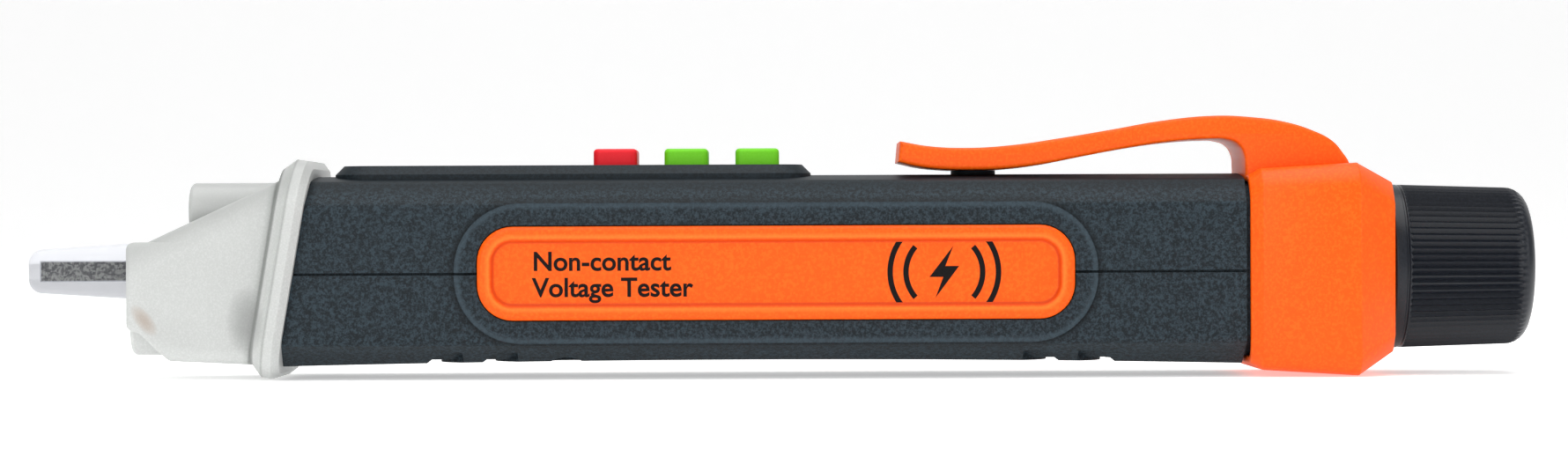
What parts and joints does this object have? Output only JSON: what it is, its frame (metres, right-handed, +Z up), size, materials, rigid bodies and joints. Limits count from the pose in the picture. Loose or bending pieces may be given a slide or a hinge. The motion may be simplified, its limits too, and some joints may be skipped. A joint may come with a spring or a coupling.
{
  "type": "non-contact voltage tester",
  "caption": "Pen-shaped non-contact voltage tester with a sensing tip, lit nose, display, push buttons, pocket clip and a screw-on battery cap.",
  "frame": {"origin": "on the surface the tool lies on, under the middle of its overall box", "axes": "+X from the probe tip to the battery cap, +Y across the width, +Z up through the buttons and the pocket clip"},
  "size_m": [0.1548, 0.0232, 0.0263],
  "materials": {
    "body_plastic": "fine spark-textured dark slate grey",
    "frosted_plastic": "frosted translucent polycarbonate",
    "clear_plastic": "clear moulded tip",
    "sensor_foil": "grainy grey metal foil",
    "bare_wire": "copper wire",
    "red_lens": "tinted lamp lens",
    "clear_lens": "clear lamp lens",
    "tinned_metal": "tinned pins",
    "circuit_board": "green solder mask",
    "chip_black": "black moulding",
    "component_ceramic": "small ceramic chips",
    "inner_plastic": "plain inner moulding",
    "display_glass": "display glass",
    "elastomer": "soft rubber",
    "window_gloss": "dark glossy display window",
    "red_rubber": "satin red button",
    "green_rubber": "satin green button",
    "cell_jacket": "plain printed cell jacket",
    "nickel": "nickel plated spring metal",
    "cap_plastic": "satin blue-black ribbed cap",
    "spring_steel": "spring wire",
    "orange_plastic": "satin orange plastic with fine flecks",
    "screw_steel": "plated steel"
  },
  "bodies": {
    "housing": {"upper_shell": "body_plastic", "lower_shell": "body_plastic", "nose_cone": "frosted_plastic", "probe_tip": "clear_plastic", "sensor_strip": "sensor_foil", "sensor_lead": "bare_wire", "signal_light": "red_lens", "signal_light_pins": "tinned_metal", "torch_light": "clear_lens", "torch_light_pins": "tinned_metal", "main_board": "circuit_board", "controller_chip": "chip_black", "board_components": "component_ceramic", "buzzer": "chip_black", "lcd_frame": "inner_plastic", "lcd_glass": "display_glass", "lcd_connectors": "elastomer", "display_window": "window_gloss", "switch_bodies": "inner_plastic", "battery_tube": "inner_plastic", "front_cell": "cell_jacket", "rear_cell": "cell_jacket", "front_contact": "nickel", "contact_strip": "nickel", "cap_seal": "elastomer", "tail_collar": "orange_plastic", "left_panel": "orange_plastic", "right_panel": "orange_plastic", "case_screws": "screw_steel"},
    "power_key": {"power_button": "red_rubber", "power_switch_plunger": "chip_black"},
    "torch_key": {"torch_button": "green_rubber", "torch_switch_plunger": "chip_black"},
    "range_key": {"range_button": "green_rubber", "range_switch_plunger": "chip_black"},
    "clip": {"pocket_clip": "orange_plastic"},
    "cap_carrier": {"cap_contact": "nickel", "cap_spring": "spring_steel"},
    "cap": {"battery_cap": "cap_plastic"}
  },
  "joints": [
    {"name": "power_press", "type": "slide", "parent": "housing", "child": "power_key", "axis": [0, 0, -1], "range_m": [0, 0.0004], "stiffness_N_per_m": 1500, "springref_m": -0.0002},
    {"name": "torch_press", "type": "slide", "parent": "housing", "child": "torch_key", "axis": [0, 0, -1], "range_m": [0, 0.0004], "stiffness_N_per_m": 1500, "springref_m": -0.0002},
    {"name": "range_press", "type": "slide", "parent": "housing", "child": "range_key", "axis": [0, 0, -1], "range_m": [0, 0.0004], "stiffness_N_per_m": 1500, "springref_m": -0.0002},
    {"name": "clip_flex", "type": "hinge", "parent": "housing", "child": "clip", "pos_m": [0.04787, 0, 0.02515], "axis": [0, 1, 0], "range_deg": [0, 6], "stiffness_Nm_per_rad": 0.5, "springref_deg": -1.15},
    {"name": "cap_advance", "type": "slide", "parent": "housing", "child": "cap_carrier", "axis": [1, 0, 0], "range_m": [0, 0.0051]},
    {"name": "cap_turn", "type": "hinge", "parent": "cap_carrier", "child": "cap", "pos_m": [0.06945, 0, 0.01098], "axis": [1, 0, 0], "range_deg": [0, 900]}
  ],
  "couplings": [
    {"joint": "cap_advance", "follows": "cap_turn", "m_per_rad": 0.00031831}
  ]
}
